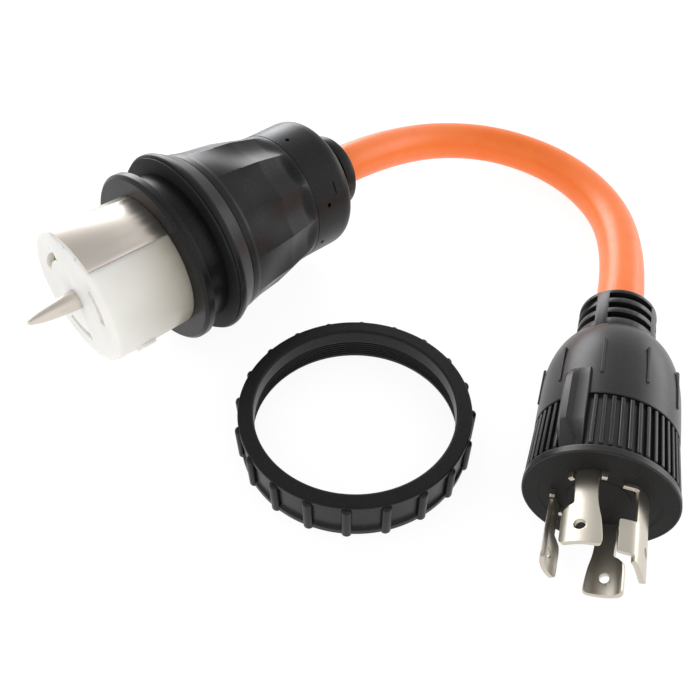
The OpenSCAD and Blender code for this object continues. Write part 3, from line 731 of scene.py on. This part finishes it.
# ---- blades: a narrow neck, a shoulder on one side, and a flared end with a hole
blade_r, blade_t = 13.8, 1.5
blade_outline = filleted([
    (-3.6, -20), (-3.6, 8, 3), (-4.1, 12, 3), (-5.1, 16, 4), (-5.6, 20, 4), (-5.9, 23.4, 1.2), (-5.3, 24.6, 1),
    (4.9, 24.8, 1), (6.1, 24, 1), (6.2, 15.6, 1.2), (5.8, 13.6, 0.6), (4.2, 12.1, 0.6), (2.7, 11.4, 0.5),
    (3.1, 5, 2), (3.1, -20)])
for name, middle in (("blade_line_1", -153), ("blade_line_2", -63), ("blade_neutral", 27)):
    bm = bmesh.new()
    plate(bm, blade_outline, [(0.35, 19, 1.6)], round_path(blade_r, middle), blade_t)
    for side in (-1, 1):
        plate(bm, [(side * u, s) for u, s in ((4.1, -4), (5.7, -4), (5.7, 1.8), (4.1, 1.8))], [],
              round_path(blade_r, middle), blade_t)
    finished(name + "_plate", to_mesh(name, bm, False), "adapter", blade_nickel, [name], PLUG)


def ground_path(u):
    """Round the circle for 47 degrees, then a small bend and a straight leg inwards."""
    r, start = blade_r, 94
    full = radians(47) * r
    if u <= full:
        return round_path(r, start)(u)
    (x, y), (nx, ny) = round_path(r, start)(full)
    bend_r, turn, past = 1.4, radians(44), u - full
    a = min(past / bend_r, turn)
    tx, ty = -ny, nx
    x, y = x + bend_r * (sin(a) * tx - (1 - cos(a)) * nx), y + bend_r * (sin(a) * ty - (1 - cos(a)) * ny)
    tx, ty, nx, ny = (cos(a) * tx - sin(a) * nx, cos(a) * ty - sin(a) * ny,
                      cos(a) * nx + sin(a) * tx, cos(a) * ny + sin(a) * ty)
    rest = max(past - turn * bend_r, 0)
    return (x + tx * rest, y + ty * rest), (nx, ny)


bm = bmesh.new()
plate(bm, filleted([
    (1.6, -20), (1.6, 6, 3), (0.8, 11, 3), (0, 16, 3), (0, 21, 3), (2.2, 25.4, 2), (5.2, 27.7, 0.7), (7, 27.7, 0.5),
    (10.4, 25.3, 0.5), (11.7, 25, 0.3), (11.8, 23, 0.3), (16, 22.9, 0.7), (16, 12.2, 0.7), (11.6, 12.2, 0.5),
    (11.4, 1.0, 0.4), (15.6, 0.8, 0.3), (15.6, -20)]), [(5.4, 18.2, 1.6)], ground_path, blade_t)
finished("blade_ground_plate", to_mesh("ground", bm, False), "adapter", blade_nickel,
         ["blade_ground"], PLUG)

# ---------------------------------------------------------------- locking ring
wall_r, ring_h, bore_r = 41.6, 16.2, 36.5
ring_body = turned_mesh("ring", filleted([
    (38.4, 0, 0.3), (42.6, 0, 0.5), (42.6, 2.6, 0.5), (wall_r, 3.3, 0.4), (wall_r, 13.4, 0.2), (wall_r - 0.7, 13.7, 0.1),
    (wall_r - 0.7, 14.1, 0.1), (42.2, 14.3, 0.3), (42.2, ring_h, 0.7), (bore_r, ring_h, 0.9), (bore_r, 10.2, 0.4),
    (38.3, 9.6, 0.3)]), 256)
rib = bmesh.new()
rib_r, rib_top = 1.7, 14.0
crown = [(rib_r * sin(t * pi / 12), rib_top + rib_r * cos(t * pi / 12)) for t in range(1, 7)]
revolve(rib, [(0, rib_top + rib_r)] + crown + [(1.75, 0.35), (1.4, 0), (0, 0)], 20)
bmesh.ops.scale(rib, vec=(0.85, 1, 1), verts=rib.verts)
bmesh.ops.translate(rib, vec=(42.2, 0, 0), verts=rib.verts)
grip_ribs = copied(to_mesh("rib", rib), 20, -94.0, ring_black)
ring_thread = grown(bpy.data.meshes.new("seed"), thread, thread_names, Turns=7.0, Radius=38.35, Height=8.6, Ridge=0.32,
                    Material=ring_black)
ring_thread.transform(Matrix.Translation((0, 0, 0.7)))
finished("locking_ring_moulding", joined("locking_ring", ring_body, grip_ribs, ring_thread), "locking_ring", ring_black,
         ["locking_ring"], FLOOR)

# ---------------------------------------------------------------- inside pieces keep their CAD shapes
inside = {"contact_line_1": brass, "contact_line_2": brass, "contact_neutral": brass, "contact_carrier": inner_black,
          "carrier_screws": zinc, "connector_terminal_screws": brass, "flange_seal": rubber, "grip_bush": rubber,
          "plug_core": inner_black, "plug_terminals": brass, "plug_terminal_screws": brass}
for end in ("connector", "plug"):
    inside.update({f"{end}_wire_{core}": material for core, material in wires.items()})
for name, material in inside.items():
    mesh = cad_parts[name].data
    mesh.materials.clear()
    mesh.materials.append(material)

# ---------------------------------------------------------------- floor and light
floor_mesh = bpy.data.meshes.new("floor")
floor_mesh.from_pydata([(-3, -3, 0), (3, -3, 0), (3, 3, 0), (-3, 3, 0)], [], [(0, 1, 2, 3)])
floor = bpy.data.objects.new("floor", floor_mesh)
bpy.context.scene.collection.objects.link(floor)
floor_mesh.materials.append(Finish("white_floor", Base_Color=(0.15, 0.15, 0.15), Roughness=0.7,
                                   Emission_Color=(1, 1, 1), Emission_Strength=0.9).material)
floor.location.z = -0.0002

scene = bpy.context.scene
scene.world = bpy.data.worlds.new("studio")
scene.world.use_nodes = True
studio = Net(scene.world.node_tree)
way = studio.split(studio.node("ShaderNodeTexCoord", out="Generated"))


def sky_patch(azimuth, elevation, inner, outer, gain):
    """A soft round patch of extra light in the sky."""
    a, e = radians(azimuth), radians(elevation)
    near = studio.dot(way, (cos(e) * cos(a), cos(e) * sin(a), sin(e)))
    return studio.eased(near, cos(radians(outer)), cos(radians(inner))) * gain


overhead, low_down = 0.55, 0.5
sky = studio.eased(way[2], 0.97, 0.6) * low_down + overhead
light = sky + sky_patch(110, 9, 8, 28, 5.0) + sky_patch(27, 6, 8, 25, 2.4)
background = scene.world.node_tree.nodes["Background"]
background.inputs["Color"].default_value = (0.97, 0.98, 1, 1)
studio.tree.links.new(light.socket, background.inputs["Strength"])
scene.view_settings.view_transform = "Standard"
